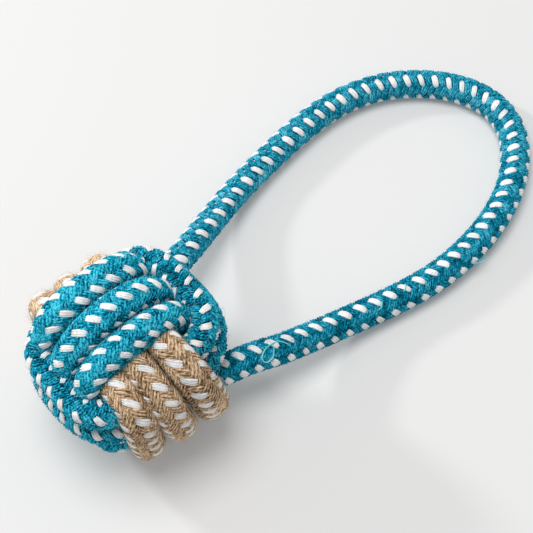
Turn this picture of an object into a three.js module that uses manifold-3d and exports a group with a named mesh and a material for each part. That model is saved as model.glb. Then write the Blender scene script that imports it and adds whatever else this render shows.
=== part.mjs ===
// Rope dog toy: a rope ball tied as a monkey's fist, with a loop of the same rope as its handle.
// Millimetres, +Z up. The floor is Z 0, the ball stands on the origin and the loop leaves along +X.
import * as THREE from 'three';
import { mergeVertices } from 'three/addons/utils/BufferGeometryUtils.js';
import Module from 'manifold-3d';

const wasm = await Module();
wasm.setup();

// The rope, loose in the handle, laid in the ball and pressed under the next band
const ROPE_D = 10;
const STRAND_T = 9.6;
const PRESSED_W = 8.8;
const PRESSED_T = 7.4;

// Each band of the ball: the step from strand to strand, a strand's width, the band's shift off centre, and
// how far it leans about Y, with what is on top going towards -X
const OVER_PITCH = 10.6;
const OVER_W = 9.8;
const OVER_SHIFT = 2.2;
const OVER_LEAN = THREE.MathUtils.degToRad(5);
const CROSS_PITCH = 10.4;
const CROSS_W = 9.6;
const CROSS_SHIFT = -0.6;
const CROSS_LEAN = THREE.MathUtils.degToRad(9);
const BELT_PITCH = 11.4;
const BELT_W = 10.6;
const BELT_SHIFT = 2.2;
const BELT_LEAN = THREE.MathUtils.degToRad(6.5);
const BAND_TURNS = 3;
const BELT_TURNS = 2;

// The knot was pulled tight by hand. How far each strand is drawn in on a band's first and second outer face,
// from place -1 to 1, and how far it lies off its place on the second
const EVEN = [0, 0, 0];
const CROSS_FAR_IN = [-0.7, 0.3, 1.3];
const CROSS_NEAR_IN = [1.2, 0.6, -2.4];
const CROSS_NEAR_OFF = [-0.9, -1.4, -0.8];
const BELT_FRONT_IN = [0, 1, 0.8];
const BELT_BACK_IN = [2.2, 2, 2.2];

// How far a band is drawn in at the corner where it dives under the next, and that corner's angle
const OVER_CORNER_IN = 1.5;
const OVER_CORNER_AT = THREE.MathUtils.degToRad(45);
const BELT_CORNER_IN = 1;
const BELT_CORNER_AT = THREE.MathUtils.degToRad(125);

// A strand's middle from the ball's centre, on its outer face, at the corner and where it is hidden
const MID_OUT = 26.6;
const MID_IN = 17;
const SIDE_OUT = 24.4;
const SIDE_IN = 12.4;
const OVER_MID_CORNER = 24.8;
const OVER_SIDE_CORNER = 23.8;
const CROSS_MID_CORNER = 25.6;
const CROSS_SIDE_CORNER = 24.4;
const BELT_MID_CORNER = 25.6;
const BELT_SIDE_CORNER = 24.4;
const BIGHT_TUCK = 1.4;

const SHIFT_HALF = THREE.MathUtils.degToRad(40);
const CLEAR = 0.4;
const CORE_CLEAR = 0.4;
const REST_FLAT = 1;

// Where the loop bends at the ball
const HINGE_X = 29;
const HINGE_Y = 20.2;
const HINGE_Z = 18.8;
const ROOT_HEADING = THREE.MathUtils.degToRad(12);
const ROOT_DROP = 0.08;
const SOCKET_BACK = 4;
const CAP_TIP = 0.25;
const FLOOR_CLEAR = 0.1;
const FLOOR_Z = ROPE_D / 2 + FLOOR_CLEAR;

// Mesh fineness
const SIDES = 8;
const STEPS_PER_TURN = 32;
const LOOP_SIDES = 10;
const LOOP_STEPS = 78;
const LEG_STEPS = 6;
const CAP_STEPS = 4;
const ROUND_SIDES = 20;
const ROUND_RINGS = 12;

const CENTRE_Z = MID_OUT + STRAND_T / 2 - REST_FLAT;

const TEAL = 0x16889f;
const NATURAL = 0xb8925f;
const PALE = 0xd8d2c4;

function material(name, colour) {
  const m = new THREE.MeshStandardMaterial({ color: colour, roughness: 0.95, metalness: 0 });
  m.name = name;
  return m;
}

// A value that is out at angle 0, inn at a quarter turn and corner halfway between.
function around(angle, out, corner, inn) {
  const mean = (out + inn) / 4 + corner / 2;
  const swing = (out - inn) / 2;
  const bulge = (out + inn) / 4 - corner / 2;
  return mean + swing * Math.cos(2 * angle) + bulge * Math.cos(4 * angle);
}

// 1 on a strand's outer faces and 0 where it is hidden.
const shown = (angle) => (1 + Math.cos(2 * angle)) / 2;

// A value between those of the strands at places -1, 0 and 1.
function byPlace([low, middle, high], place) {
  return middle + ((high - low) / 2) * place + ((high + low) / 2 - middle) * place * place;
}

// 1 at one corner of a band and 0 from the faces beside it on.
function atCorner(off) {
  const near = Math.max(0, Math.cos(2 * off));
  return (near * near * (1 + Math.cos(off))) / 2;
}

// One point of a band about the ball's centre: along its hidden faces' axis, across the band, and along
// its outer faces' axis. Place 0 is the band's middle strand, and 1 and -1 are its side strands.
function bandPoint(band, angle, place, tuck) {
  const mid = around(angle, MID_OUT, band.midCorner, MID_IN);
  const side = around(angle, SIDE_OUT, band.sideCorner, SIDE_IN);
  const first = (shown(angle) * (1 + Math.cos(angle))) / 2;
  const second = (shown(angle) * (1 - Math.cos(angle))) / 2;
  let drawn = first * byPlace(band.firstIn, place) + second * byPlace(band.secondIn, place);
  drawn += band.cornerIn * atCorner(angle - band.cornerAt) + tuck * shown(angle);
  const radius = mid + (side - mid) * place * place - drawn;
  const across = place * band.pitch + band.shift + second * byPlace(band.secondOff, place);
  return [radius * Math.sin(angle), across, radius * Math.cos(angle)];
}

// Half the strand's width and thickness, from full on its outer faces to pressed under the next band.
function section(band, angle) {
  const wide = (PRESSED_W + (band.width - PRESSED_W) * shown(angle)) / 2;
  const thick = (PRESSED_T + (STRAND_T - PRESSED_T) * shown(angle)) / 2;
  return { wide, thick };
}

// From 0 to 1 at an even slope, with short rounded ends.
function glide(x) {
  const t = Math.min(1, Math.max(0, x));
  const ease = 0.15;
  const slope = 1 / (1 - ease);
  if (t < ease) return (slope * t * t) / (2 * ease);
  if (t > 1 - ease) return 1 - (slope * (1 - t) * (1 - t)) / (2 * ease);
  return slope * (t - ease / 2);
}

const Y_AXIS = new THREE.Vector3(0, 1, 0);
const CENTRE = new THREE.Vector3(0, 0, CENTRE_Z);
const leaned = (x, y, z, lean) => new THREE.Vector3(x, y, z).applyAxisAngle(Y_AXIS, -lean);

// The three bands lie about square to each other, so a band's point serves them all with its axes moved on.
const overBand = {
  pitch: OVER_PITCH,
  width: OVER_W,
  shift: OVER_SHIFT,
  midCorner: OVER_MID_CORNER,
  sideCorner: OVER_SIDE_CORNER,
  firstIn: EVEN,
  secondIn: EVEN,
  secondOff: EVEN,
  cornerIn: OVER_CORNER_IN,
  cornerAt: OVER_CORNER_AT,
  toWorld: (p) => leaned(p[0], p[1], p[2], OVER_LEAN).add(CENTRE),
  across: leaned(0, 1, 0, OVER_LEAN),
};
const crossBand = {
  pitch: CROSS_PITCH,
  width: CROSS_W,
  shift: CROSS_SHIFT,
  midCorner: CROSS_MID_CORNER,
  sideCorner: CROSS_SIDE_CORNER,
  firstIn: CROSS_FAR_IN,
  secondIn: CROSS_NEAR_IN,
  secondOff: CROSS_NEAR_OFF,
  cornerIn: 0,
  cornerAt: 0,
  toWorld: (p) => leaned(p[1], p[2], p[0], CROSS_LEAN).add(CENTRE),
  across: leaned(1, 0, 0, CROSS_LEAN),
};
const beltBand = {
  pitch: BELT_PITCH,
  width: BELT_W,
  shift: BELT_SHIFT,
  midCorner: BELT_MID_CORNER,
  sideCorner: BELT_SIDE_CORNER,
  firstIn: BELT_FRONT_IN,
  secondIn: BELT_BACK_IN,
  secondOff: EVEN,
  cornerIn: BELT_CORNER_IN,
  cornerAt: BELT_CORNER_AT,
  toWorld: (p) => leaned(p[2], p[0], p[1], BELT_LEAN).add(CENTRE),
  across: leaned(0, 0, 1, BELT_LEAN),
};

function station(band, angle, place, tuck) {
  const at = band.toWorld(bandPoint(band, angle, place, tuck));
  return { at, ...section(band, angle), side: band.across };
}

// A winding is one unbroken line. It moves over by one strand each turn, on the hidden face at hiddenAt,
// and both its ends stop there under the band that passes over it.
function winding(band, turns, firstPlace, hiddenAt) {
  const from = SHIFT_HALF;
  const to = turns * 2 * Math.PI - SHIFT_HALF;
  const count = Math.round(((to - from) / (2 * Math.PI)) * STEPS_PER_TURN);
  const stations = [];
  for (let i = 0; i <= count; i += 1) {
    const turned = from + ((to - from) * i) / count;
    let place = firstPlace;
    for (let k = 1; k < turns; k += 1) {
      place += glide((turned - 2 * Math.PI * k + SHIFT_HALF) / (2 * SHIFT_HALF));
    }
    stations.push(station(band, turned + hiddenAt, place, 0));
  }
  return stations;
}

// The bight is the belt's lowest strand. It holds both legs of the loop: it comes in under the cross band
// on one side, goes round the back of the ball and leaves under the cross band on the other side.
function bightStations() {
  const stations = [];
  const half = STEPS_PER_TURN / 4;
  for (let i = -half; i <= half; i += 1) {
    const angle = Math.PI + (i / half) * (Math.PI / 2);
    stations.push(station(beltBand, angle, -1, BIGHT_TUCK));
  }
  return stations;
}

function legRoot(sign) {
  const sideways = sign * Math.sin(ROOT_HEADING);
  const heading = new THREE.Vector3(Math.cos(ROOT_HEADING), sideways, -ROOT_DROP).normalize();
  const hinge = new THREE.Vector3(HINGE_X, sign * HINGE_Y, HINGE_Z);
  const end = hinge.clone().addScaledVector(heading, -SOCKET_BACK);
  const straight = hinge.clone().addScaledVector(heading, -SOCKET_BACK - ROPE_D);
  return { heading, hinge, end, straight };
}

function bight() {
  const up = new THREE.Vector3(0, 0, 1);
  const ring = bightStations();
  const leg = (sign, near) => {
    const root = legRoot(sign);
    const knots = [near[1].at, near[0].at, root.straight, root.end];
    const curve = new THREE.CatmullRomCurve3(knots, false, 'centripetal');
    const out = [];
    for (let i = 1; i <= LEG_STEPS; i += 1) {
      const share = i / LEG_STEPS;
      const at = curve.getPoint((1 + share) / 3);
      const wide = (PRESSED_W + (ROPE_D - PRESSED_W) * share) / 2;
      const thick = (PRESSED_T + (ROPE_D - PRESSED_T) * share) / 2;
      out.push({ at, wide, thick, side: up });
    }
    const halfway = root.straight.clone().lerp(root.end, 0.5);
    out.push({ at: halfway, wide: ROPE_D / 2, thick: ROPE_D / 2, side: up });
    out.push({ at: root.end, wide: ROPE_D / 2, thick: ROPE_D / 2, side: up });
    return out;
  };
  const first = leg(1, [ring[0], ring[1]]);
  const last = leg(-1, [ring[ring.length - 1], ring[ring.length - 2]]);
  return [...first.reverse(), ...ring, ...last];
}

// The loop's free line, from one leg's bend to the other: up and away from the ball, over the floor and back.
const LOOP_ROUTE = [
  [29, 20.2, 18.8], [35, 21.6, 18], [41.5, 23.9, 16.2], [48, 26.7, 13.7], [58, 31, 9.9], [70, 35.4, 6.9],
  [82, 38.5, 5.4], [94, 40.6, 5.1], [105, 42.1, 5.1], [115.5, 42.8, 5.1], [126, 42.3, 5.1],
  [135, 40.3, 5.1], [143.5, 36.9, 5.1], [151, 32.1, 5.1], [157.5, 26.2, 5.1], [163, 19, 5.1],
  [166.5, 11, 5.1], [167.3, 2, 5.1], [164.5, -7, 5.1], [159, -14.3, 5.1], [152.3, -20.1, 5.1],
  [145, -24.6, 5.1], [137, -28, 5.1], [128.6, -30.5, 5.1], [120, -32, 5.1], [111, -32.8, 5.1],
  [102, -32.7, 5.1], [93, -31.6, 5.1], [84.4, -30, 5.2], [76, -28.3, 5.8], [67.5, -26.7, 7.2],
  [58.5, -25.4, 9.5], [49.5, -24.2, 12.5], [41, -23.2, 15.8], [35, -21.8, 17.8], [29, -20.2, 18.8],
];

function loopStations() {
  const up = new THREE.Vector3(0, 0, 1);
  const knots = LOOP_ROUTE.map((p) => new THREE.Vector3(p[0], p[1], Math.max(p[2], FLOOR_Z)));
  const curve = new THREE.CatmullRomCurve3(knots, false, 'centripetal');
  curve.arcLengthDivisions = 2000;
  const line = curve.getSpacedPoints(LOOP_STEPS);
  const r = ROPE_D / 2;
  const stations = line.map((at) => ({ at, wide: r, thick: r, side: up }));
  const cap = (sign) => {
    const root = legRoot(sign);
    const rings = [];
    for (let i = 1; i < CAP_STEPS; i += 1) {
      const a = (i / CAP_STEPS) * (Math.PI / 2);
      const at = root.hinge.clone().addScaledVector(root.heading, -r * Math.sin(a));
      const size = r * Math.cos(a);
      rings.push({ at, wide: size, thick: size, side: up, along: root.heading.clone().multiplyScalar(sign) });
    }
    const tip = root.hinge.clone().addScaledVector(root.heading, -r);
    const along = root.heading.clone().multiplyScalar(sign);
    rings.push({ at: tip, wide: CAP_TIP, thick: CAP_TIP, side: up, along });
    return rings;
  };
  stations[0].along = legRoot(1).heading.clone();
  stations[stations.length - 1].along = legRoot(-1).heading.clone().multiplyScalar(-1);
  return { line: stations, all: [...cap(1).reverse(), ...stations, ...cap(-1)] };
}

// A closed tube over stations, each with a place, half a width, half a thickness and the width's direction.
function tube(stations, sides, grow) {
  const position = [];
  const index = [];
  const n = stations.length;
  stations.forEach((s, i) => {
    const before = stations[Math.max(0, i - 1)].at;
    const after = stations[Math.min(n - 1, i + 1)].at;
    const along = s.along ? s.along : after.clone().sub(before).normalize();
    const u = s.side.clone().addScaledVector(along, -s.side.dot(along)).normalize();
    const v = along.clone().cross(u);
    for (let k = 0; k < sides; k += 1) {
      const a = ((k + 0.5) / sides) * 2 * Math.PI;
      const p = s.at.clone().addScaledVector(u, (s.wide + grow) * Math.cos(a));
      p.addScaledVector(v, (s.thick + grow) * Math.sin(a));
      position.push(p.x, p.y, p.z);
    }
  });
  for (let i = 0; i + 1 < n; i += 1) {
    for (let k = 0; k < sides; k += 1) {
      const a = i * sides + k;
      const b = i * sides + ((k + 1) % sides);
      index.push(a, b, b + sides, a, b + sides, a + sides);
    }
  }
  const last = (n - 1) * sides;
  for (let k = 1; k + 1 < sides; k += 1) {
    index.push(0, k + 1, k);
    index.push(last, last + k, last + k + 1);
  }
  return { position, index };
}

function solid({ position, index }) {
  const vertProperties = new Float32Array(position);
  const triVerts = new Uint32Array(index);
  return new wasm.Manifold(new wasm.Mesh({ numProp: 3, vertProperties, triVerts }));
}

// A three.js geometry as a solid, placed at a point.
function shape(source, x, y, z) {
  const g = source.clone();
  g.deleteAttribute('normal');
  g.deleteAttribute('uv');
  const merged = mergeVertices(g.translate(x, y, z));
  return solid({ position: merged.attributes.position.array, index: merged.index.array });
}

function geometry(body) {
  const mesh = body.getMesh();
  const g = new THREE.BufferGeometry();
  g.setAttribute('position', new THREE.BufferAttribute(new Float32Array(mesh.vertProperties), 3));
  g.setIndex(new THREE.BufferAttribute(new Uint32Array(mesh.triVerts), 1));
  g.computeVertexNormals();
  return g;
}

function named(name, body, look) {
  const mesh = new THREE.Mesh(geometry(body), look);
  mesh.name = name;
  return mesh;
}

// The least space between a winding and itself, between stations over three diameters apart along it.
function selfGap(stations) {
  const along = [0];
  for (let i = 1; i < stations.length; i += 1) {
    along.push(along[i - 1] + stations[i].at.distanceTo(stations[i - 1].at));
  }
  let least = Infinity;
  for (let i = 0; i < stations.length; i += 1) {
    for (let j = i + 1; j < stations.length; j += 1) {
      if (along[j] - along[i] > 3 * ROPE_D) {
        const space = stations[i].at.distanceTo(stations[j].at) - stations[i].wide - stations[j].wide;
        least = Math.min(least, space);
      }
    }
  }
  return { least, length: along[along.length - 1] };
}

const QUARTER = Math.PI / 2;
const overLine = winding(overBand, BAND_TURNS, -1, 3 * QUARTER);
const crossLine = winding(crossBand, BAND_TURNS, -1, 3 * QUARTER);
const beltLine = winding(beltBand, BELT_TURNS, 0, QUARTER);
const bightLine = bight();
const loopLine = loopStations();

const lines = { overLine, crossLine, beltLine, bightLine, loopLine: loopLine.line };
for (const [name, stations] of Object.entries(lines)) {
  const { least, length } = selfGap(stations);
  console.log(`${name}: ${length.toFixed(1)} mm long, least gap to itself ${least.toFixed(2)} mm`);
}

// The rope is soft: each band is pressed in where the next band crosses over it.
const over = solid(tube(overLine, SIDES, 0));
const cross = solid(tube(crossLine, SIDES, 0));
const belt = solid(tube(beltLine, SIDES, 0));
const bend = solid(tube(bightLine, SIDES, 0));
const overRoom = solid(tube(overLine, SIDES, CLEAR));
const crossRoom = solid(tube(crossLine, SIDES, CLEAR));
const beltRoom = solid(tube(beltLine, SIDES, CLEAR)).add(solid(tube(bightLine, SIDES, CLEAR)));

const floorSize = 4 * MID_OUT;
const below = shape(new THREE.BoxGeometry(floorSize, floorSize, floorSize), 0, 0, -floorSize / 2);
const ball = new THREE.SphereGeometry(ROPE_D / 2 + CLEAR, ROUND_SIDES, ROUND_RINGS);
const nearSocket = shape(ball, HINGE_X, -HINGE_Y, HINGE_Z);
const farSocket = shape(ball, HINGE_X, HINGE_Y, HINGE_Z);

const overBody = over.subtract(beltRoom).subtract(below);
const crossBody = cross.subtract(overRoom);
const beltBody = belt.subtract(crossRoom);
const bendBody = bend.subtract(crossRoom).subtract(nearSocket).subtract(farSocket);

const leastReach = [overBand, crossBand, beltBand].map((b) => b.pitch - Math.abs(b.shift));
const coreRadius = Math.hypot(SIDE_IN, Math.min(...leastReach)) - PRESSED_T / 2 - CORE_CLEAR;
const coreShape = new THREE.SphereGeometry(coreRadius, ROUND_SIDES, ROUND_RINGS);
const core = new THREE.Mesh(coreShape, material('pale_filler', PALE));
core.position.set(0, 0, CENTRE_Z);
core.name = 'core_ball';

const teal = material('teal_rope', TEAL);
const natural = material('natural_rope', NATURAL);

const toy = new THREE.Group();
toy.name = 'rope_dog_toy';
toy.add(core);
toy.add(named('over_winding', overBody, teal));
toy.add(named('cross_winding', crossBody, natural));
toy.add(named('belt_winding', beltBody, teal));
toy.add(named('handle_bight', bendBody, teal));
toy.add(named('handle_loop', solid(tube(loopLine.all, LOOP_SIDES, 0)), teal));

export default toy;
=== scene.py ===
"""A rope dog toy: a ball of braided rope, tied as a monkey's fist, with a rope loop as its handle.

Metres, +Z up. The floor is Z 0, the ball stands on the origin and the loop leaves along +X.
"""

import math

import bpy
import numpy as np
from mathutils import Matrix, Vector


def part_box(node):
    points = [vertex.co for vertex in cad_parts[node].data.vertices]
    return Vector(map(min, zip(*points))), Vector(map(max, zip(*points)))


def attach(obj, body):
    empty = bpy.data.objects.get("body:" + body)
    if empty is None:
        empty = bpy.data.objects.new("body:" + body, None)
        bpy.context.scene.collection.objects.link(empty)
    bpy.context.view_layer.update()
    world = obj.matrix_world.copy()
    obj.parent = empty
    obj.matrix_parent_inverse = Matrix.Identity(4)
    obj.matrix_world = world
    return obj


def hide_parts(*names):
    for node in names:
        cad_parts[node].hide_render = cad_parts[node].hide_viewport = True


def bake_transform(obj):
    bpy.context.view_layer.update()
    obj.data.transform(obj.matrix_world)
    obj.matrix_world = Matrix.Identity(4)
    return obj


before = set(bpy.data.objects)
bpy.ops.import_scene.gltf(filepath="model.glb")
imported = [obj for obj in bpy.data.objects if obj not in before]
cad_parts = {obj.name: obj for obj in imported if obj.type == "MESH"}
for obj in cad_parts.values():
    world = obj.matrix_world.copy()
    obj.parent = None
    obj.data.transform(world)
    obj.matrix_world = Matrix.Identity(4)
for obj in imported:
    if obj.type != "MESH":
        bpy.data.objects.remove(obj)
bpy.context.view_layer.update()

MM = 0.001
QUARTER = math.pi / 2
UP = np.array([0.0, 0.0, 1.0])
SEED = 7

# How far above the floor the lowest points lie
FLOOR_CLEAR = 0.02 * MM

# How closely a curve through knots is sampled
LINE_STEP = 0.5 * MM

# The ball's lines, as in the solids: how far out the middle and the side strands lie where they are
# outermost and where they are innermost, and half the angle in which a winding steps over by one strand
STRAND_T = 9.6 * MM
REST_FLAT = 1.0 * MM
MID_OUT = 26.6 * MM
MID_IN = 17.0 * MM
SIDE_OUT = 24.4 * MM
SIDE_IN = 12.4 * MM
CENTRE = np.array([0.0, 0.0, MID_OUT + STRAND_T / 2 - REST_FLAT])
SHIFT_HALF = math.radians(40)
TURN_STEPS = 240

# The strands' sections: width and thickness where a strand is hidden, thickness where it shows, and how
# square they are, with 1 for an ellipse and less for a squarer one
HIDDEN_W = 9.2 * MM
HIDDEN_T = 8.4 * MM
SHOWN_T = 10.0 * MM
SQUARE = 0.94

# How far from the middle of its outer faces a strand can be seen, and so has carriers
SEEN = math.radians(76)

# The bight, which is the belt's lowest strand: how far it is drawn in, its section, the samples of the
# belt's line and how many there are to a knot, how deep in the ball its ends lie in millimetres, how
# much of each end is bare, and how far its braid is turned
BIGHT_TUCK = 1.4 * MM
BIGHT_W = 10.4 * MM
BIGHT_T = 9.8 * MM
BIGHT_SAMPLES = 120
BIGHT_EVERY = 12
BIGHT_DEPTH = 14
BIGHT_BARE = 1.0 * MM
BIGHT_TWIST = 0.3

# Where the loop bends at the ball, how deep in the ball its hidden points lie in millimetres, and how
# much of each end is bare
ROPE_D = 10.0 * MM
HINGE = np.array([29.0, 20.2, 18.8]) * MM
ROOT_HEADING = math.radians(12)
ROOT_DROP = -0.08
ROOT_DEPTHS = (16, 10, 5)
HANDLE_BARE = 0.5 * MM

# The loop's line, from one leg's bend to the other
LOOP_ROUTE = [
    (0.0290, 0.0202, 0.0188), (0.0350, 0.0216, 0.0180), (0.0415, 0.0239, 0.0162),
    (0.0480, 0.0267, 0.0137), (0.0580, 0.0310, 0.0099), (0.0700, 0.0354, 0.0069),
    (0.0820, 0.0385, 0.0054), (0.0940, 0.0406, 0.0051), (0.1050, 0.0421, 0.0051),
    (0.1155, 0.0428, 0.0051), (0.1260, 0.0423, 0.0051), (0.1350, 0.0403, 0.0051),
    (0.1435, 0.0369, 0.0051), (0.1510, 0.0321, 0.0051), (0.1575, 0.0262, 0.0051),
    (0.1630, 0.0190, 0.0051), (0.1665, 0.0110, 0.0051), (0.1673, 0.0020, 0.0051),
    (0.1645, -0.0070, 0.0051), (0.1590, -0.0143, 0.0051), (0.1523, -0.0201, 0.0051),
    (0.1450, -0.0246, 0.0051), (0.1370, -0.0280, 0.0051), (0.1286, -0.0305, 0.0051),
    (0.1200, -0.0320, 0.0051), (0.1110, -0.0328, 0.0051), (0.1020, -0.0327, 0.0051),
    (0.0930, -0.0316, 0.0051), (0.0844, -0.0300, 0.0052), (0.0760, -0.0283, 0.0058),
    (0.0675, -0.0267, 0.0072), (0.0585, -0.0254, 0.0095), (0.0495, -0.0242, 0.0125),
    (0.0410, -0.0232, 0.0158), (0.0350, -0.0218, 0.0178), (0.0290, -0.0202, 0.0188),
]

# The braid: carriers each way round, how often in a turn each lies on top and the angle where it first
# does, a carrier's thickness, how far it rises and dips, and how quickly it goes from one to the other
CARRIERS = 8
FLOATS = CARRIERS // 2
COLUMN = math.pi / (2 * CARRIERS)
YARN_T = 0.95 * MM
WAVE = 0.5 * MM
INSET = WAVE + YARN_T / 2
FIRM = 1.7

# Each rope's lay: the length of one turn and the steps along it, how far the white carriers stand out
# and how they narrow as they dip, how the widths vary from one crossing to the next, and how much painted
# shade darkens the plain carriers in the crevices at a rope's sides. Then come three values that change
# along the loop, and are given with it: a carrier's slant where it lies on top, the white carriers' width
# beside the others, and how far the braid opens at its first column of white and closes opposite.
HANDLE_LAY = dict(
    lead=21 * MM, steps=40, white_lift=0.06 * MM, white_taper=0.34, sizes=(0.82, 1.12), pressed=0.0,
)
BALL_LAY = dict(
    lead=20.5 * MM, steps=34, white_lift=0.0, white_taper=0.12, sizes=(0.88, 1.08), pressed=1.1,
    float_slant=math.radians(46), white_width=0.85, open=0.0,
)
BELT_LAY = dict(BALL_LAY, float_slant=math.radians(68))

# The plain carriers' width and how they narrow, how near its sides a rope gets painted crevice shade, how
# much painted shade darkens a carrier where it dips, and how far apart two carriers' grain is, along and
# across
PLAIN_WIDTH = 1.06
PLAIN_TAPER = 0.12
CREVICE_SHADE_FROM = 0.8
DIP_SHADE = 0.7
GRAIN_ALONG = 37.0
GRAIN_ACROSS = 5

# The core that fills a rope, near black as painted shade in the gaps between its carriers
CORE_STEP = 2 * MM
CORE_SIDES = 14
CORE_SHADE = 0.2

# The order of a rope's materials, and of those that stand off the handle
PLAIN_LOOK, WHITE_LOOK, CORE_LOOK = range(3)
FIBRE_LOOK, THREAD_LOOK = range(2)

# A loose fibre: its stations and sides, how far its root is lifted, the shortest one's share of the
# length, how widely fibres curl, how far each arches and waves from root to tip in radians, and how it
# narrows
FIBRE_STATIONS = 5
FIBRE_SIDES = 3
FIBRE_ROOT = 0.3 * MM
FIBRE_SHORTEST = 0.35
FIBRE_CURL = 0.5
FIBRE_ARCH = 2.2
FIBRE_WAVE = 3
FIBRE_TAPER = 0.75

# A loose thread, and the shade of what has no carriers
THREAD_R = 0.2 * MM
THREAD_STEP = 0.25 * MM
THREAD_SIDES = 6
MIDDLE_SHADE = 0.5

# A carrier's section, three yarns side by side: across in widths, and out in thicknesses
SECTION = np.array([
    (-0.50, -0.20), (-0.34, 0.42), (-0.17, 0.08), (0.0, 0.50),
    (0.17, 0.08), (0.34, 0.42), (0.50, -0.20), (0.0, -0.50),
])

# The camera, fitted to the photo
CAMERA_AT = np.array([-82.24, -160.88, 387.90]) * MM
CAMERA_TILT = math.radians(60)
CAMERA_TURN = math.radians(40.5)
IMAGE_SIZE = 533
FOCAL_PX = 1312
SENSOR = 36.0
CLIP_START = 0.01


# Lines


def unit(v):
    return v / np.linalg.norm(v, axis=-1, keepdims=True)


def circle(count):
    return np.linspace(0, 2 * math.pi, count, endpoint=False)


def around(angle, out, corner, inn):
    """out at angle 0, inn at a quarter turn and corner halfway between."""
    mean = (out + inn) / 4 + corner / 2
    swing = (out - inn) / 2
    bulge = (out + inn) / 4 - corner / 2
    return mean + swing * np.cos(2 * angle) + bulge * np.cos(4 * angle)


def shown(angle):
    """1 on a strand's outer faces and 0 where it is hidden."""
    return (1 + np.cos(2 * angle)) / 2


def glide(x):
    """From 0 to 1 at an even slope, with short rounded ends."""
    t = np.clip(x, 0, 1)
    ease = 0.15
    slope = 1 / (1 - ease)
    early = slope * t * t / (2 * ease)
    late = 1 - slope * (1 - t) ** 2 / (2 * ease)
    return np.where(t < ease, early, np.where(t > 1 - ease, late, slope * (t - ease / 2)))


# Each band: its strands' pitch, bow and shift, the radii at its corners for the middle and the side
# strands, how it stands in the world, which corner is drawn in and, in degrees, how it leans. Its
# strands aren't quite alike: lean and, in millimetres, width, first_in, turned_in, turned_shift and
# corner_in each give the middle strand's value, what one place along adds, and what both outer strands
# add.
BANDS = {
    "over": dict(
        pitch=10.45 * MM, bow=0.75 * MM, shift=1.9 * MM, width=(10.6, 0.9, -0.1),
        mid=24.8 * MM, side=23.8 * MM, order=(0, 1, 2), lean=(5.0, 0.0, 0.0),
        first_in=(0.0, 0.0, 0.0), turned_in=(0.0, 0.0, 0.0), turned_shift=(0.0, 0.0, 0.0),
        corner=math.radians(45), corner_in=(1.5, 0.0, 0.0),
    ),
    "cross": dict(
        pitch=10.1 * MM, bow=0.0, shift=-0.6 * MM, width=(10.6, 0.5, 0.9),
        mid=25.2 * MM, side=24.4 * MM, order=(1, 2, 0), lean=(10.5, 3.5, -2.0),
        first_in=(0.9, 1.0, -0.6), turned_in=(0.6, -1.9, -1.4), turned_shift=(-1.5, 0.6, 0.6),
        corner=0.0, corner_in=(0.0, 0.0, 0.0),
    ),
    "belt": dict(
        pitch=11.4 * MM, bow=0.0, shift=2.2 * MM, width=(10.8, 0.0, 0.0),
        mid=25.6 * MM, side=24.4 * MM, order=(2, 0, 1), lean=(6.5, 0.0, 0.0),
        first_in=(0.6, 0.4, -0.2), turned_in=(2.6, 0.0, -0.4), turned_shift=(0.0, 0.0, 0.0),
        corner=math.radians(125), corner_in=(0.6, 0.8, 0.0),
    ),
}


def by_place(values, place):
    """A strand's value: the middle strand's, with what one place adds and what both outer strands add."""
    middle, slope, outer = values
    return middle + slope * place + outer * place * place


def leaned(offset, angle):
    """Turned about Y, so that what is on top goes towards -X."""
    c = np.cos(angle)
    s = np.sin(angle)
    x, y, z = offset[..., 0], offset[..., 1], offset[..., 2]
    return np.stack([x * c - z * s, y, x * s + z * c], axis=-1)


def band_point(band, angle, place, tuck=0.0):
    """A point on a band's line: angle goes round from its first face, and place is -1 to 1 across it."""
    mid = around(angle, MID_OUT, band["mid"], MID_IN)
    side = around(angle, SIDE_OUT, band["side"], SIDE_IN)
    first = shown(angle) * (1 + np.cos(angle)) / 2
    turned = shown(angle) * (1 - np.cos(angle)) / 2
    radius = mid + (side - mid) * place * place - tuck * shown(angle)
    off = angle - band["corner"]
    near = np.maximum(0, np.cos(2 * off)) ** 2 * (1 + np.cos(off)) / 2
    drawn = first * by_place(band["first_in"], place) + turned * by_place(band["turned_in"], place)
    radius = radius - (drawn + near * by_place(band["corner_in"], place)) * MM
    across = place * band["pitch"] + place * place * band["bow"] + band["shift"]
    across = across + turned * by_place(band["turned_shift"], place) * MM
    local = (radius * np.sin(angle), across, radius * np.cos(angle))
    lean = np.radians(by_place(band["lean"], place))
    return CENTRE + leaned(np.stack([local[k] for k in band["order"]], axis=-1), lean)


def band_side(band):
    across = np.array([1.0 if k == 1 else 0.0 for k in band["order"]])
    return leaned(across, math.radians(band["lean"][0]))


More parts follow.
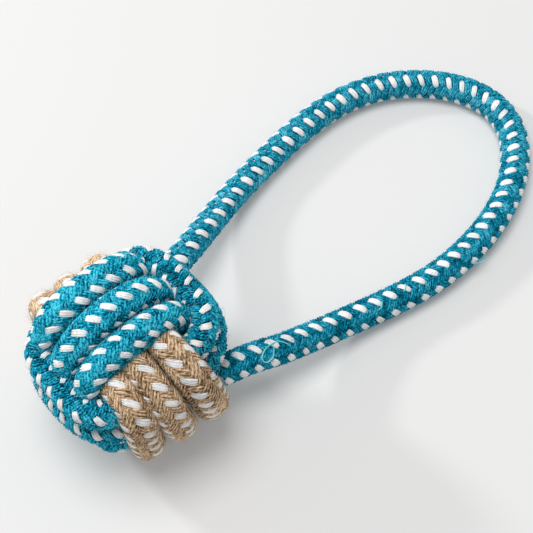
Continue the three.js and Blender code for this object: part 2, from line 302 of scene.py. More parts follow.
class Line:
    """A rope's middle line, with its cross-section's directions and half sizes."""

    def __init__(self, points, side, wide, thick, square=1.0):
        self.points = points
        self.square = square
        self.arc = np.concatenate([[0], np.cumsum(np.linalg.norm(np.diff(points, axis=0), axis=1))])
        self.length = self.arc[-1]
        tangent = unit(np.gradient(points, self.arc, axis=0))
        side = np.broadcast_to(side, points.shape)
        self.tangent = tangent
        self.u = unit(side - tangent * np.sum(side * tangent, axis=1, keepdims=True))
        self.v = np.cross(tangent, self.u)
        self.wide = self.spread(wide)
        self.thick = self.spread(thick)

    def spread(self, value):
        """One value for each of the line's points."""
        return np.broadcast_to(value, self.arc.shape)

    def by_share(self, shares, values):
        """Values given at shares of the line's length, as one for each of its points."""
        return np.interp(self.arc / self.length, shares, values)

    def at(self, s, values):
        """What the points' values are at distance s along the line."""
        if values.ndim == 1:
            return np.interp(s, self.arc, values)
        return np.stack([np.interp(s, self.arc, values[:, k]) for k in range(3)], axis=-1)

    def surface(self, s, angle, lift):
        """Points at distance s along the rope, at an angle round it, lift out from its mean surface."""
        a = self.at(s, self.wide) - INSET + lift
        b = self.at(s, self.thick) - INSET + lift
        x = np.sign(np.cos(angle)) * np.abs(np.cos(angle)) ** self.square
        y = np.sign(np.sin(angle)) * np.abs(np.sin(angle)) ** self.square
        out = self.at(s, self.u) * (a * x)[..., None] + self.at(s, self.v) * (b * y)[..., None]
        return self.at(s, self.points) + out


def catmull(knots, step):
    """A centripetal Catmull-Rom curve through the knots, sampled about every step."""
    k = np.asarray(knots, float)
    k = np.vstack([2 * k[0] - k[1], k, 2 * k[-1] - k[-2]])
    out = []
    for p0, p1, p2, p3 in zip(k, k[1:], k[2:], k[3:]):
        t = np.cumsum([0] + [np.linalg.norm(b - a) ** 0.5 for a, b in ((p0, p1), (p1, p2), (p2, p3))])
        count = max(2, int(np.linalg.norm(p2 - p1) / step))
        x = np.linspace(t[1], t[2], count, endpoint=False)[:, None]
        a1 = (t[1] - x) / (t[1] - t[0]) * p0 + (x - t[0]) / (t[1] - t[0]) * p1
        a2 = (t[2] - x) / (t[2] - t[1]) * p1 + (x - t[1]) / (t[2] - t[1]) * p2
        a3 = (t[3] - x) / (t[3] - t[2]) * p2 + (x - t[2]) / (t[3] - t[2]) * p3
        b1 = (t[2] - x) / (t[2] - t[0]) * a1 + (x - t[0]) / (t[2] - t[0]) * a2
        b2 = (t[3] - x) / (t[3] - t[1]) * a2 + (x - t[1]) / (t[3] - t[1]) * a3
        out.append((t[2] - x) / (t[2] - t[1]) * b1 + (x - t[1]) / (t[2] - t[1]) * b2)
    out.append(k[-2][None, :])
    return np.vstack(out)


def winding(name, turns, first_place, hidden_at):
    """The line of one winding, and at each point its angle from the band's first face and its place."""
    band = BANDS[name]
    turned = np.linspace(SHIFT_HALF, turns * 2 * math.pi - SHIFT_HALF, TURN_STEPS * turns)
    place = np.full(turned.shape, float(first_place))
    for k in range(1, turns):
        place = place + glide((turned - 2 * math.pi * k + SHIFT_HALF) / (2 * SHIFT_HALF))
    angle = turned + hidden_at
    points = band_point(band, angle, place)
    width = by_place(band["width"], place) * MM
    wide = (HIDDEN_W + (width - HIDDEN_W) * shown(angle)) / 2
    thick = (HIDDEN_T + (SHOWN_T - HIDDEN_T) * shown(angle)) / 2
    return Line(points, band_side(band), wide, thick, SQUARE), angle, place


# Meshes


class Build:
    """Closed swept tubes, gathered into one mesh."""

    def __init__(self):
        self.co, self.faces, self.look = [], [], []
        self.values = {"shade": [], "along": [], "across": []}
        self.count = 0

    def tubes(self, rings, look, shade, along, across):
        """rings is tubes by stations by points by 3."""
        shape = rings.shape[:3]
        index = self.count + np.arange(math.prod(shape)).reshape(shape)
        turn = np.roll(index, -1, axis=2)
        quads = np.stack([index[:, :-1], turn[:, :-1], turn[:, 1:], index[:, 1:]], axis=-1)
        caps = np.concatenate([index[:, 0, ::-1], index[:, -1]])
        self.co.append(rings.reshape(-1, 3))
        for faces in (quads.reshape(-1, 4), caps):
            self.faces.append(faces)
            self.look.append(np.full(len(faces), look))
        for name, value in (("shade", shade), ("along", along), ("across", across)):
            self.values[name].append(np.broadcast_to(value, shape).reshape(-1))
        self.count += index.size

    def tube(self, rings, look, shade, along, across):
        """rings is stations by points by 3."""
        self.tubes(rings[None], look, shade, along, across)

    def object(self, name, materials):
        co = np.concatenate(self.co)
        co[:, 2] = np.maximum(co[:, 2], FLOOR_CLEAR)
        loops = np.concatenate([faces.reshape(-1) for faces in self.faces])
        totals = np.concatenate([np.full(len(faces), faces.shape[1]) for faces in self.faces])
        starts = np.concatenate([[0], np.cumsum(totals)[:-1]])
        looks = np.concatenate(self.look)
        mesh = bpy.data.meshes.new(name)
        mesh.vertices.add(len(co))
        mesh.vertices.foreach_set("co", co.astype(np.float32).ravel())
        mesh.loops.add(len(loops))
        mesh.loops.foreach_set("vertex_index", loops.astype(np.int32))
        mesh.polygons.add(len(totals))
        for key, values in (("loop_start", starts), ("loop_total", totals), ("material_index", looks)):
            mesh.polygons.foreach_set(key, values.astype(np.int32))
        mesh.polygons.foreach_set("use_smooth", np.ones(len(totals), bool))
        mesh.update(calc_edges=True)
        for key, parts in self.values.items():
            attribute = mesh.attributes.new(key, "FLOAT", "POINT")
            attribute.data.foreach_set("value", np.concatenate(parts).astype(np.float32))
        for material in materials:
            mesh.materials.append(material)
        obj = bpy.data.objects.new(name, mesh)
        bpy.context.scene.collection.objects.link(obj)
        return obj


def braid(build, line, lay, spans, white_way, rng, twist, stretch=1.0, slip=0.0, painted_shade=0.0):
    """Adds a braided rope along the line, its carriers only on the spans that can be seen.

    At each of the line's points, twist is how far the braid is turned round the line, stretch is how far
    it is pulled out, slip is how far it is moved back along the line, and painted_shade is painted shade
    that darkens its plain carriers, or painted light that pales them where it is below 0. A carrier passes
    over two of the other hand and under two, so it lies on top FLOATS times in a turn.
    """
    lead = lay["lead"]
    mean_r = (line.wide.mean() + line.thick.mean()) / 2 - INSET
    slant = math.atan2(2 * math.pi * mean_r, lead)
    width = 2 * math.pi * (mean_r + WAVE) / CARRIERS * math.cos(slant)
    rate = lead / (2 * math.pi)
    laid = np.concatenate([[0], np.cumsum(np.diff(line.arc) / line.spread(stretch)[1:])]) + slip
    painted_shade = line.spread(painted_shade)
    sway_along = line.spread((rate - (mean_r + WAVE) / np.tan(lay["float_slant"])) / FLOATS)
    white_width = line.spread(lay["white_width"])
    opened = line.spread(lay["open"])
    for way in (1, -1):
        for i in range(CARRIERS):
            white = way == white_way and i % 2 == 0
            tone = rng.random()
            for s0, s1 in spans:
                q0, q1 = np.interp((s0, s1), line.arc, laid)
                q = np.linspace(q0, q1, int((q1 - q0) / lead * lay["steps"]) + 2)
                s = np.interp(q, laid, line.arc)
                sway = line.at(s, sway_along)
                turn = way * q / rate + 2 * math.pi * i / CARRIERS
                phase = FLOATS * (turn - COLUMN)
                top = way * np.tanh(FIRM * np.cos(phase)) / math.tanh(FIRM)
                # A new width begins wherever the carrier is hidden
                crossing = np.floor(phase / (2 * math.pi) + (1 + way) / 4).astype(int)
                crossing = crossing - crossing.min()
                size = rng.uniform(*lay["sizes"], crossing.max() + 1)[crossing]
                heading = np.arctan2(mean_r, rate - way * FLOATS * sway * np.cos(phase))[:, None]
                share = line.at(s, white_width) if white else PLAIN_WIDTH
                taper = lay["white_taper"] if white else PLAIN_TAPER
                lift = WAVE * top + (lay["white_lift"] if white else 0.0)
                across = SECTION[:, 0] * (share * size * width * (1 - taper + taper * top))[:, None]
                out = SECTION[:, 1] * YARN_T
                ring_s = (s - sway * np.sin(phase))[:, None] - way * np.sin(heading) * across
                ring_angle = (turn + line.at(s, twist))[:, None] + np.cos(heading) * across / mean_r
                column = COLUMN + line.at(s, twist)[:, None]
                ring_angle = ring_angle + line.at(s, opened)[:, None] * np.sin(ring_angle - column)
                rings = line.surface(ring_s, ring_angle, lift[:, None] + out)
                # The plain carriers are darker in the crevices at a rope's sides, as painted shade
                beside = np.clip((np.abs(np.cos(ring_angle)) - CREVICE_SHADE_FROM) / (1 - CREVICE_SHADE_FROM), 0, 1)
                # A carrier is darker where it dips under the others, as painted shade
                shade = tone + DIP_SHADE * (top[:, None] - 1)
                if not white:
                    # Darker or paler along the line, as painted shade or painted light
                    shade = shade - lay["pressed"] * beside - line.at(s, painted_shade)[:, None]
                look = WHITE_LOOK if white else PLAIN_LOOK
                grain = s[:, None] / MM + GRAIN_ALONG * i
                build.tube(rings, look, shade, grain, SECTION[:, 0] + GRAIN_ACROSS * i)
    core_s = np.linspace(0, line.length, int(line.length / CORE_STEP))
    grid_s, grid_angle = np.meshgrid(core_s, circle(CORE_SIDES), indexing="ij")
    # The core's near-black colour is painted shade for the gaps between carriers
    build.tube(line.surface(grid_s, grid_angle, -WAVE), CORE_LOOK, CORE_SHADE, grid_s / MM, 0.0)


def fuzz(build, line, spans, fibre, look, rng):
    """Adds fine fibre ends that stand off a rope's surface and curl."""
    t = np.linspace(0, 1, FIBRE_STATIONS)[:, None]
    corners = circle(FIBRE_SIDES)[:, None]
    for s0, s1 in spans:
        count = int((s1 - s0) / MM * fibre["per_mm"])
        s = rng.uniform(s0, s1, count)
        angle, heading, bend = rng.uniform(0, 2 * math.pi, (3, count, 1, 1))
        length = fibre["reach"] * rng.uniform(FIBRE_SHORTEST, 1.0, (count, 1, 1))
        rise = rng.uniform(*fibre["rise"], (count, 1, 1))
        curl = rng.normal(0, FIBRE_CURL, (count, 1, 1))
        root = line.surface(s, angle[:, 0, 0], FIBRE_ROOT)
        away = unit(root - line.at(s, line.points))[:, None]
        along = line.at(s, line.tangent)[:, None]
        flat = along * np.cos(heading) + np.cross(away, along) * np.sin(heading)
        turned = np.cross(away, flat)
        path = root[:, None] + length * (t * flat + rise * np.sin(FIBRE_ARCH * t) * away)
        path = path + length * curl * np.sin(FIBRE_WAVE * t + bend) * t * turned
        ring = np.cos(corners) * away + np.sin(corners) * turned
        taper = fibre["thick"] * (1 - FIBRE_TAPER * t)[:, None]
        build.tubes(path[:, :, None] + taper * ring[:, None], look, rng.random((count, 1, 1)), t, 0.0)


def thread(build, line, points, radius, look):
    """Adds one loose thread, through points in millimetres along, degrees round and millimetres off."""
    s, angle, lift = np.array(points).T
    knots = line.surface(s * MM, np.radians(angle), lift * MM + WAVE)
    path = catmull(knots, THREAD_STEP)
    ahead = unit(np.gradient(path, axis=0))
    side = unit(np.cross(ahead, UP))
    corners = circle(THREAD_SIDES)[:, None]
    ring = np.cos(corners) * side[:, None] + np.sin(corners) * np.cross(side, ahead)[:, None]
    along = np.linspace(0, 1, len(path))[:, None]
    build.tube(path[:, None] + radius * ring, look, MIDDLE_SHADE, along, 0.0)


def spans_of(line, seen):
    """The stretches of the line where seen is true, as distances along it."""
    edges = np.flatnonzero(np.diff(np.concatenate([[0], seen.astype(int), [0]])))
    return [(line.arc[a], line.arc[min(b, len(line.arc)) - 1]) for a, b in edges.reshape(-1, 2)]


# Looks


# Yarn's noises: scale, detail and roughness
FIBRE_NOISE = (1.0, 3.0, 0.65)
FLECK_NOISE = (1500.0, 2.0, 0.6)
BLOTCH_NOISE = (220.0, 2.0, 0.5)

# The fibre noise's steps: across a carrier, askew along it and straight along it
FIBRE_ACROSS = 9.0
FIBRE_SKEW = 1.5
FIBRE_ALONG = 1.1

# A carrier's yarns side by side, the middle of the tones, how much the blotches and the shade change
# them, and where the dark, middle and light colours lie among them
YARNS = 3
MIDDLE_TONE = 0.55
BLOTCHY = 0.8
SHADED = 0.16
RAMP_AT = (0.1, 0.55, 0.95)

# Yarn's surface
BUMP_STRENGTH = 0.8
BUMP_DEPTH = 0.2 * MM
YARN_ROUGHNESS = 0.92
YARN_SPECULAR = 0.06
SHEEN_ROUGHNESS = 0.5


def node_material(name):
    material = bpy.data.materials.new(name)
    material.use_nodes = True
    return material, material.node_tree.nodes["Principled BSDF"]


class Nodes:
    """Short forms for wiring a material's nodes."""

    def __init__(self, tree):
        self.tree = tree

    def put(self, socket, value):
        if isinstance(value, bpy.types.NodeSocket):
            self.tree.links.new(value, socket)
        else:
            socket.default_value = value

    def math(self, operation, *values):
        node = self.tree.nodes.new("ShaderNodeMath")
        node.operation = operation
        for socket, value in zip(node.inputs, values):
            self.put(socket, value)
        return node.outputs[0]

    def attribute(self, name):
        node = self.tree.nodes.new("ShaderNodeAttribute")
        node.attribute_name = name
        return node.outputs["Fac"]

    def noise(self, vector, scale, detail, rough):
        node = self.tree.nodes.new("ShaderNodeTexNoise")
        self.put(node.inputs["Vector"], vector)
        node.inputs["Scale"].default_value = scale
        node.inputs["Detail"].default_value = detail
        node.inputs["Roughness"].default_value = rough
        return node.outputs["Fac"]

    def vector(self, x, y):
        node = self.tree.nodes.new("ShaderNodeCombineXYZ")
        self.put(node.inputs["X"], x)
        self.put(node.inputs["Y"], y)
        return node.outputs["Vector"]

    def here(self):
        return self.tree.nodes.new("ShaderNodeTexCoord").outputs["Object"]


def yarn_material(name, colours, streak, speckle, furrow_shade, sheen, sheen_colour):
    """Twisted yarn: fibres streak along it, and painted shade darkens the furrows between a carrier's
    yarns.
    """
    material, shader = node_material(name)
    tree = material.node_tree
    nodes = Nodes(tree)
    across = nodes.attribute("across")
    along = nodes.attribute("along")
    shade = nodes.attribute("shade")
    skewed = nodes.math("MULTIPLY_ADD", across, FIBRE_ACROSS, nodes.math("MULTIPLY", along, FIBRE_SKEW))
    straight = nodes.math("MULTIPLY", along, FIBRE_ALONG)
    fibre = nodes.noise(nodes.vector(skewed, straight), *FIBRE_NOISE)
    fleck = nodes.noise(nodes.here(), *FLECK_NOISE)
    blotch = nodes.noise(nodes.here(), *BLOTCH_NOISE)
    ridge = nodes.math("COSINE", nodes.math("MULTIPLY", across, 2 * math.pi * YARNS))
    tone = nodes.math("MULTIPLY_ADD", fibre, streak, MIDDLE_TONE - streak / 2)
    for layer, amount in ((fleck, speckle), (blotch, BLOTCHY), (shade, SHADED)):
        lowered = nodes.math("SUBTRACT", tone, amount / 2)
        tone = nodes.math("MULTIPLY_ADD", layer, amount, lowered)
    # The furrows between yarns are darker, as painted shade
    tone = nodes.math("MULTIPLY_ADD", ridge, furrow_shade, tone)
    ramp = tree.nodes.new("ShaderNodeValToRGB")
    dark, middle, light = colours
    dark_at, middle_at, light_at = RAMP_AT
    ramp.color_ramp.elements[0].position = dark_at
    ramp.color_ramp.elements[0].color = (*dark, 1)
    ramp.color_ramp.elements[1].position = light_at
    ramp.color_ramp.elements[1].color = (*light, 1)
    ramp.color_ramp.elements.new(middle_at).color = (*middle, 1)
    nodes.put(ramp.inputs["Fac"], tone)
    nodes.put(shader.inputs["Base Color"], ramp.outputs["Color"])
    bump = tree.nodes.new("ShaderNodeBump")
    bump.inputs["Strength"].default_value = BUMP_STRENGTH
    bump.inputs["Distance"].default_value = BUMP_DEPTH
    nodes.put(bump.inputs["Height"], nodes.math("ADD", fibre, fleck))
    nodes.put(shader.inputs["Normal"], bump.outputs["Normal"])
    shader.inputs["Roughness"].default_value = YARN_ROUGHNESS
    shader.inputs["Specular IOR Level"].default_value = YARN_SPECULAR
    shader.inputs["Sheen Weight"].default_value = sheen
    shader.inputs["Sheen Roughness"].default_value = SHEEN_ROUGHNESS
    shader.inputs["Sheen Tint"].default_value = (*sheen_colour, 1)
    return material


# Each yarn: its dark, middle and light colours, then its streaks, speckles, painted shade in the furrows
# and sheen
TEAL = yarn_material(
    "teal_yarn", ((0.0, 0.028, 0.055), (0.0, 0.29, 0.45), (0.08, 0.66, 0.82)),
    2.2, 1.9, 0.14, 0.12, (0.0, 0.7, 0.9),
)
TEAL_SMOOTH = yarn_material(
    "teal_handle_yarn", ((0.0, 0.03, 0.06), (0.0, 0.29, 0.45), (0.17, 0.67, 0.81)),
    1.6, 1.3, 0.10, 0.12, (0.0, 0.7, 0.9),
)
# The teal core's colour is painted shade, near black for the gaps between carriers
TEAL_CORE_SHADE = yarn_material(
    "teal_core_shade", ((0.0, 0.02, 0.035), (0.0, 0.04, 0.06), (0.0, 0.07, 0.10)),
    0.8, 0.4, 0.0, 0.0, (1.0, 1.0, 1.0),
)
TEAL_FUZZ = yarn_material(
    "teal_fibre", ((0.0, 0.24, 0.37), (0.03, 0.46, 0.62), (0.30, 0.76, 0.86)),
    0.6, 0.4, 0.0, 0.2, (0.6, 0.9, 1.0),
)
THREAD = yarn_material(
    "teal_thread", ((0.04, 0.42, 0.46), (0.16, 0.70, 0.72), (0.42, 0.86, 0.86)),
    0.6, 0.4, 0.0, 0.2, (0.6, 0.9, 1.0),
)
WHITE = yarn_material(
    "white_yarn", ((0.46, 0.47, 0.48), (0.95, 0.95, 0.95), (1.0, 1.0, 1.0)),
    1.1, 0.5, 0.15, 0.15, (1.0, 1.0, 1.0),
)
WHITE_SMOOTH = yarn_material(
    "white_handle_yarn", ((0.50, 0.51, 0.52), (0.94, 0.94, 0.94), (1.0, 1.0, 1.0)),
    0.8, 0.5, 0.11, 0.15, (1.0, 1.0, 1.0),
)
NATURAL = yarn_material(
    "natural_yarn", ((0.055, 0.025, 0.01), (0.41, 0.252, 0.134), (0.91, 0.69, 0.47)),
    2.4, 1.1, 0.20, 0.12, (1.0, 0.85, 0.65),
)
# The natural core's colour is painted shade, near black for the gaps between carriers
NATURAL_CORE_SHADE = yarn_material(
    "natural_core_shade", ((0.04, 0.02, 0.01), (0.08, 0.045, 0.02), (0.14, 0.08, 0.04)),
    0.8, 0.4, 0.0, 0.0, (1.0, 1.0, 1.0),
)
NATURAL_FUZZ = yarn_material(
    "natural_fibre", ((0.42, 0.29, 0.17), (0.72, 0.56, 0.39), (0.90, 0.78, 0.62)),
    0.6, 0.4, 0.0, 0.2, (1.0, 0.9, 0.7),
)
TEAL_WISP = yarn_material(
    "teal_wisp", ((0.16, 0.52, 0.62), (0.36, 0.72, 0.80), (0.66, 0.90, 0.94)),
    0.6, 0.4, 0.0, 0.2, (0.6, 0.9, 1.0),
)
NATURAL_WISP = yarn_material(
    "natural_wisp", ((0.60, 0.47, 0.34), (0.84, 0.72, 0.58), (0.96, 0.90, 0.80)),
    0.6, 0.4, 0.0, 0.2, (1.0, 0.9, 0.7),
)
FILLER = yarn_material(
    "filler_yarn", ((0.40, 0.36, 0.30), (0.62, 0.58, 0.51), (0.78, 0.75, 0.68)),
    0.9, 0.4, 0.0, 0.1, (1.0, 1.0, 1.0),
)


# The camera and the handle


def look_through():
    data = bpy.data.cameras.new("camera")
    data.sensor_width = SENSOR
    data.sensor_fit = "HORIZONTAL"
    data.lens = SENSOR * FOCAL_PX / IMAGE_SIZE
    data.clip_start = CLIP_START
    camera = bpy.data.objects.new("camera", data)
    camera.location = Vector(CAMERA_AT)
    camera.rotation_euler = (QUARTER - CAMERA_TILT, 0.0, -CAMERA_TURN)
    bpy.context.scene.collection.objects.link(camera)
    bpy.context.scene.camera = camera


def root_heading(sign):
    return unit(np.array([math.cos(ROOT_HEADING), sign * math.sin(ROOT_HEADING), ROOT_DROP]))


def in_ball(sign, depth):
    """A point depth millimetres back from a leg's bend, on the +Y side of the ball for a sign of 1."""
    return HINGE * (1, sign, 1) - root_heading(sign) * depth * MM


def bight_line():
    """The belt's lowest strand, round the back of the ball to the loop's hidden ends."""
    angle = np.linspace(QUARTER, 3 * QUARTER, BIGHT_SAMPLES)[::BIGHT_EVERY]
    ring = band_point(BANDS["belt"], angle, -1.0, BIGHT_TUCK)
    points = catmull([in_ball(1, BIGHT_DEPTH), *ring, in_ball(-1, BIGHT_DEPTH)], LINE_STEP)
    return Line(points, UP, BIGHT_W / 2, BIGHT_T / 2)


# The rope's thickness along the loop, in diameters: by share of its length, it is thicker where it lies
# slack
SLACK_AT = (0.0, 0.15, 0.25, 0.4, 0.7, 0.85, 1.0)
SLACK = (1.0, 1.0, 1.04, 1.06, 1.06, 1.04, 1.03)


def handle_line():
    """The loop's line, carried on at both ends to where it is hidden in the ball."""
    first = [in_ball(1, depth) for depth in ROOT_DEPTHS]
    last = [in_ball(-1, depth) for depth in reversed(ROOT_DEPTHS)]
    line = Line(catmull([*first, *LOOP_ROUTE, *last], LINE_STEP), UP, ROPE_D / 2, ROPE_D / 2)
    line.wide = line.by_share(SLACK_AT, SLACK) * ROPE_D / 2
    line.thick = line.wide
    return line


look_through()
rng = np.random.default_rng(SEED)

TEAL_LOOKS = [TEAL, WHITE, TEAL_CORE_SHADE]
HANDLE_LOOKS = [TEAL_SMOOTH, WHITE_SMOOTH, TEAL_CORE_SHADE]
NATURAL_LOOKS = [NATURAL, WHITE, NATURAL_CORE_SHADE]

# Threads that have come loose from the loop: millimetres along it, degrees round it from its top, and
# millimetres off it
LOOSE_THREADS = [
    [(327.6, 4, 0.0), (330.0, -2, 0.8), (332.8, -16, 1.2), (334.2, -38, 1.1), (333.0, -56, 0.7),
     (331.0, -46, 0.9), (330.0, -22, 0.7), (329.2, 4, 0.0)],
    [(324.0, -30, 0.0), (325.2, -18, 0.7), (326.8, -2, 0.6), (328.0, 12, 0.0)],
    [(250.0, -74, 0.0), (248.6, -82, 0.8), (247.0, -86, 1.6), (245.6, -84, 2.0), (244.6, -78, 1.9)],
    [(287.4, -34, 0.0), (286.2, -26, 0.7), (285.2, -14, 0.5), (284.6, -6, 0.0)],
    [(276.2, -10, 0.0), (275.0, -2, 0.8), (274.4, 10, 0.4), (274.0, 18, 0.0)],
]

# Loose fibres: how many to a millimetre of rope, their length, how they rise and how thick they are
HANDLE_FIBRE = dict(per_mm=6.0, reach=2.0 * MM, rise=(0.15, 0.8), thick=0.045 * MM)
BALL_FIBRE = dict(per_mm=6.0, reach=2.2 * MM, rise=(0.15, 0.8), thick=0.045 * MM)
NATURAL_FIBRE = dict(per_mm=9.0, reach=3.4 * MM, rise=(0.15, 0.8), thick=0.045 * MM)
FLAT_FIBRE = dict(per_mm=7.0, reach=2.4 * MM, rise=(0.02, 0.16), thick=0.05 * MM)
WISP = dict(per_mm=1.6, reach=4.5 * MM, rise=(0.03, 0.4), thick=0.06 * MM)

handle = handle_line()
handle_span = [(HANDLE_BARE, handle.length - HANDLE_BARE)]

# By share of the loop's length: how far the braid is turned and pulled out, how much painted shade darkens
# it, with a little painted light where it is below 0, and the three values of its lay that change
TWIST_AT = (0.0, 0.28, 0.34, 0.45, 0.5, 0.57, 0.62, 0.75, 1.0)
TWIST = (0.27, 0.27, 0.17, 0.16, 0.22, 0.11, 0.14, -0.12, -0.1)
STRETCH_AT = (
    0.0, 0.04, 0.06, 0.12, 0.18, 0.25, 0.32, 0.4, 0.48, 0.56, 0.62, 0.68, 0.74, 0.8, 0.86, 0.92, 1.0,
)
STRETCH = (
    1.35, 1.35, 1.3, 1.26, 1.19, 1.07, 1.0, 1.02, 0.96, 1.0, 1.01, 0.97, 1.0, 1.15, 1.2, 1.09, 0.96,
)
# Painted shade darkens the lower leg, and a little painted light pales the upper one
PAINTED_SHADE_AT = (0.0, 0.55, 0.75)
PAINTED_SHADE = (-0.1, 0.0, 0.75)
LAY_AT = (0.0, 0.25, 0.4, 0.55, 0.75)
FLOAT_SLANT = np.radians((71, 70, 68, 66, 54))
WHITE_WIDTH = (1.15, 1.04, 1.02, 1.03, 1.05)
OPEN = (0.2, 0.2, 0.14, 0.04, 0.0)
handle_state = dict(
    twist=handle.by_share(TWIST_AT, TWIST), stretch=handle.by_share(STRETCH_AT, STRETCH),
    painted_shade=handle.by_share(PAINTED_SHADE_AT, PAINTED_SHADE),
)
handle_lay = dict(
    HANDLE_LAY, float_slant=handle.by_share(LAY_AT, FLOAT_SLANT),
    white_width=handle.by_share(LAY_AT, WHITE_WIDTH), open=handle.by_share(LAY_AT, OPEN),
)


def bend_with_handle(piece):
    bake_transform(piece)


build = Build()
fuzz(build, handle, handle_span, HANDLE_FIBRE, FIBRE_LOOK, rng)
fuzz(build, handle, handle_span, FLAT_FIBRE, FIBRE_LOOK, rng)
for points in LOOSE_THREADS:
    thread(build, handle, points, THREAD_R, THREAD_LOOK)
handle_fuzz = build.object("handle_fuzz", [TEAL_FUZZ, THREAD])
bend_with_handle(handle_fuzz)

build = Build()
braid(build, handle, handle_lay, handle_span, white_way=1, rng=rng, **handle_state)
handle_rope = build.object("handle_rope", HANDLE_LOOKS)
bend_with_handle(handle_rope)
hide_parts("handle_loop")


# The ball


def on_ball(piece):
    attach(piece, "ball")


def rope_on_ball(name, node, line, lay, spans, state, looks, white_way, fibres, slot):
    """A braided rope of the ball, and beside it the fibres that stand off it."""
    build = Build()
    braid(build, line, lay, spans, white_way, rng, **state)
    rope = build.object(name + "_rope", looks)
    on_ball(rope)
    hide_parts(node)
    build = Build()
    for k, (fibre, _) in enumerate(fibres):
        fuzz(build, line, spans, fibre, k, rng)
    on_ball(build.object(name + "_fuzz", [look for _, look in fibres]))


TEAL_ROPE = dict(
    looks=TEAL_LOOKS, white_way=1, slot="teal_rope",
    fibres=((BALL_FIBRE, TEAL_FUZZ), (FLAT_FIBRE, TEAL_FUZZ), (WISP, TEAL_WISP)),
)
NATURAL_ROPE = dict(
    looks=NATURAL_LOOKS, white_way=-1, slot="natural_rope",
    fibres=((NATURAL_FIBRE, NATURAL_FUZZ), (WISP, NATURAL_WISP)),
)


def wind(
    name, turns, first_place, hidden_at, lay, rope, twist, stretch=(1.0, 0.0, 0.0), slip=(0.0, 0.0, 0.0),
    first_swing=0.0, turned_twist=0.0, first_painted_light=0.0,
):
    """A winding of the ball. twist, stretch and, in millimetres, slip say how its braid lies, by place.

    On the band's first face, first_swing is how much the braid turns from the middle to either end, and
    first_painted_light is how much paler its plain carriers are painted, as painted light. On the second
    face, turned_twist turns it further.
    """
    line, angle, place = winding(name, turns, first_place, hidden_at)
    turned = (1 - np.cos(angle)) / 2
    first = 1 - turned
    off = np.abs((angle + QUARTER) % math.pi - QUARTER)
    # The band's first face can be painted paler, as painted light
    state = dict(
        twist=by_place(twist, place) + turned_twist * turned + first_swing * first * np.sin(angle),
        stretch=by_place(stretch, place), slip=by_place(slip, place) * MM, painted_shade=-first_painted_light * first,
    )
    rope_on_ball(name, name + "_winding", line, lay, spans_of(line, off < SEEN), state, **rope)


wind(
    "over", turns=3, first_place=-1, hidden_at=3 * QUARTER, lay=BALL_LAY, rope=TEAL_ROPE,
    twist=(-0.15, 0.585, 0.115), stretch=(0.93, 0.035, 0.035), slip=(2.9, 0.32, -1.12),
)
wind(
    "cross", turns=3, first_place=-1, hidden_at=3 * QUARTER, lay=BALL_LAY, rope=NATURAL_ROPE,
    twist=(0.3, -0.525, -0.345), slip=(0.2, -0.6, 0.4), first_painted_light=1.2,
)
wind(
    "belt", turns=2, first_place=0, hidden_at=QUARTER, lay=BELT_LAY, rope=TEAL_ROPE,
    twist=(0.32, 0.05, 0.05), first_swing=0.6, turned_twist=0.43,
)

bight = bight_line()
bight_span = [(BIGHT_BARE, bight.length - BIGHT_BARE)]
bight_state = dict(twist=bight.spread(BIGHT_TWIST))
rope_on_ball("bight", "handle_bight", bight, BELT_LAY, bight_span, bight_state, **TEAL_ROPE)

# The filler's mesh: the angle left out at its poles, its rings and sides, how deep its ridges are, how
# often they come from pole to pole and round it, and how fine its grain is
FILLER_POLE = 0.02
FILLER_RINGS = 40
FILLER_SIDES = 56
FILLER_RIDGE = 0.03
FILLER_RIDGES = (14, 2)
FILLER_GRAIN = 40


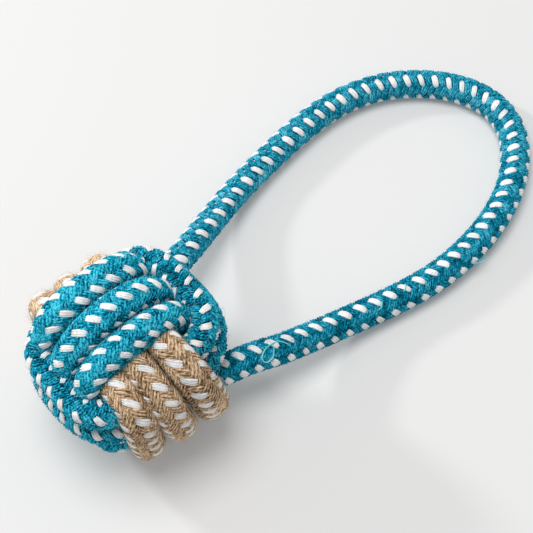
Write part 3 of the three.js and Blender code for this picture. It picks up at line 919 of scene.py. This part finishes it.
def filler():
    """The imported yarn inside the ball."""
    low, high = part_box("core_ball")
    radius = (high[0] - low[0]) / 2
    build = Build()
    fall = np.linspace(FILLER_POLE, math.pi - FILLER_POLE, FILLER_RINGS)
    grid_fall, grid_turn = np.meshgrid(fall, circle(FILLER_SIDES), indexing="ij")
    down, round_it = FILLER_RIDGES
    ridge = 1 - FILLER_RIDGE * np.abs(np.sin(down * grid_fall + round_it * grid_turn))
    rings = np.stack([
        np.sin(grid_fall) * np.cos(grid_turn), np.sin(grid_fall) * np.sin(grid_turn), np.cos(grid_fall)
    ], axis=-1)
    rings = rings * (radius * ridge)[..., None] + CENTRE
    build.tube(rings[:, ::-1], PLAIN_LOOK, MIDDLE_SHADE, grid_fall * FILLER_GRAIN, grid_turn)
    ball = build.object("filler_ball", [FILLER])
    on_ball(ball)
    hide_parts("core_ball")


filler()


# The floor and the light


FLOOR_HALF = 4.0
LIT = (0.05, 0.0, 0.02)


def floor():
    material, shader = node_material("floor")
    shader.inputs["Base Color"].default_value = (0.663, 0.66, 0.656, 1)
    # The floor glows a little, painted light that lifts the shadows on it
    shader.inputs["Emission Color"].default_value = (1.0, 1.0, 0.995, 1)
    shader.inputs["Emission Strength"].default_value = 0.10
    shader.inputs["Roughness"].default_value = 0.9
    shader.inputs["Specular IOR Level"].default_value = 0.1
    mesh = bpy.data.meshes.new("floor")
    corners = [(x * FLOOR_HALF, y * FLOOR_HALF, 0) for x, y in ((-1, -1), (1, -1), (1, 1), (-1, 1))]
    mesh.from_pydata(corners, [], [(0, 1, 2, 3)])
    mesh.materials.append(material)
    obj = bpy.data.objects.new("floor", mesh)
    bpy.context.scene.collection.objects.link(obj)


def area_light(name, at, target, size, power):
    data = bpy.data.lights.new(name, "AREA")
    data.shape = "DISK"
    data.size = size
    data.energy = power
    light = bpy.data.objects.new(name, data)
    light.location = at
    light.rotation_euler = (Vector(target) - Vector(at)).to_track_quat("-Z", "Y").to_euler()
    bpy.context.scene.collection.objects.link(light)


def world_light(strength):
    world = bpy.data.worlds.new("studio")
    world.use_nodes = True
    background = world.node_tree.nodes["Background"]
    background.inputs["Color"].default_value = (1, 1, 1, 1)
    background.inputs["Strength"].default_value = strength
    bpy.context.scene.world = world


floor()
area_light("soft_box", at=(-0.07, 0.12, 1.05), target=LIT, size=0.6, power=6.7)
area_light("key", at=(-0.34, 0.985, 0.583), target=LIT, size=0.14, power=5.1)
world_light(strength=0.47)
bpy.context.scene.view_settings.view_transform = "Standard"
